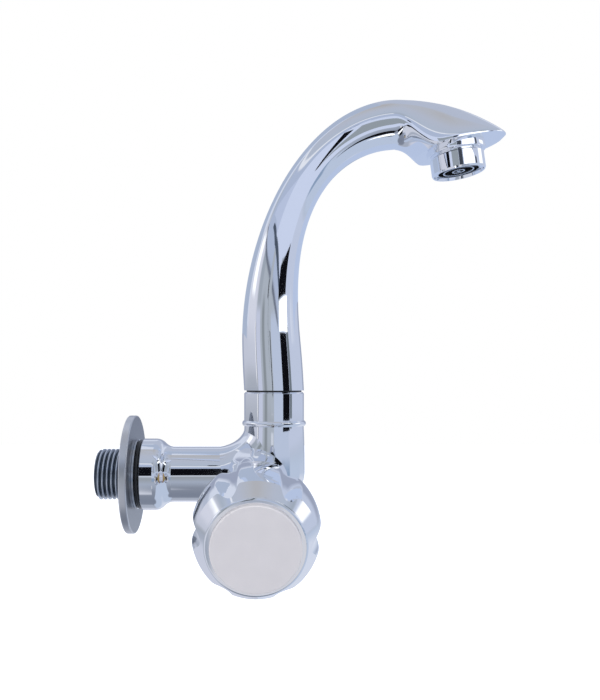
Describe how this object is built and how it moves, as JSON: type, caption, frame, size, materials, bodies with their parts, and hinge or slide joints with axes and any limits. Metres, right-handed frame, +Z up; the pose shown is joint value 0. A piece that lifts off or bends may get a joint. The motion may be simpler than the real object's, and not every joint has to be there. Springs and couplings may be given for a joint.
{
  "type": "sink tap",
  "caption": "Wall-mounted single tap with a turning lobed knob, a swivelling curved spout and an aerator.",
  "frame": {"origin": "where the inlet axis crosses the wall's face, at the flange's back", "axes": "+X out of the wall along the inlet, +Z up along the spout's swivel axis, -Y towards the knob"},
  "size_m": [0.1678, 0.1045, 0.1867],
  "materials": {
    "chrome": "polished chrome plate on brass or zinc",
    "satin_metal": "satin steel, finely brushed",
    "cap_satin": "satin metal disc",
    "brass": "turned brass",
    "rubber": "black rubber",
    "fibre": "pressed fibre washer",
    "dark_plastic": "dark acetal",
    "grey_plastic": "dark grey acetal",
    "steel": "stainless steel"
  },
  "bodies": {
    "body": {"tap_body": "chrome", "wall_flange": "satin_metal", "flange_seal": "rubber", "swivel_collar": "chrome", "slip_washer": "dark_plastic", "valve_bonnet": "brass", "bonnet_seal": "fibre", "thrust_washer": "dark_plastic"},
    "swivel_spout": {"spout": "chrome", "swivel_nipple": "brass", "swivel_ring_upper": "rubber", "swivel_ring_lower": "rubber", "retaining_ring": "dark_plastic", "aerator_housing": "chrome", "aerator_seal": "rubber", "aerator_cage": "grey_plastic", "aerator_screens": "steel", "aerator_grille": "grey_plastic"},
    "knob": {"valve_spindle": "brass", "spindle_ring_lower": "rubber", "spindle_ring_upper": "rubber", "spindle_clip": "steel", "knob_shell": "chrome", "knob_bush": "brass", "knob_screw": "steel", "knob_cap": "cap_satin", "knob_cap_ring": "dark_plastic"},
    "jumper": {"valve_jumper": "brass", "jumper_washer": "rubber", "jumper_nut": "brass"}
  },
  "joints": [
    {"name": "spout_swivel", "type": "hinge", "parent": "body", "child": "swivel_spout", "pos_m": [0.0601, 0, 0.0348], "axis": [0, 0, 1], "range_deg": [-120, 120]},
    {"name": "knob_turn", "type": "hinge", "parent": "body", "child": "knob", "pos_m": [0.0532, 0, 0.0005], "axis": [0, -0.9848, -0.1736], "range_deg": [0, 900]},
    {"name": "jumper_lift", "type": "slide", "parent": "body", "child": "jumper", "axis": [0, -0.9848, -0.1736], "range_m": [0, 0.0038]}
  ],
  "couplings": [
    {"joint": "jumper_lift", "follows": "knob_turn", "m_per_rad": 0.00023873}
  ]
}
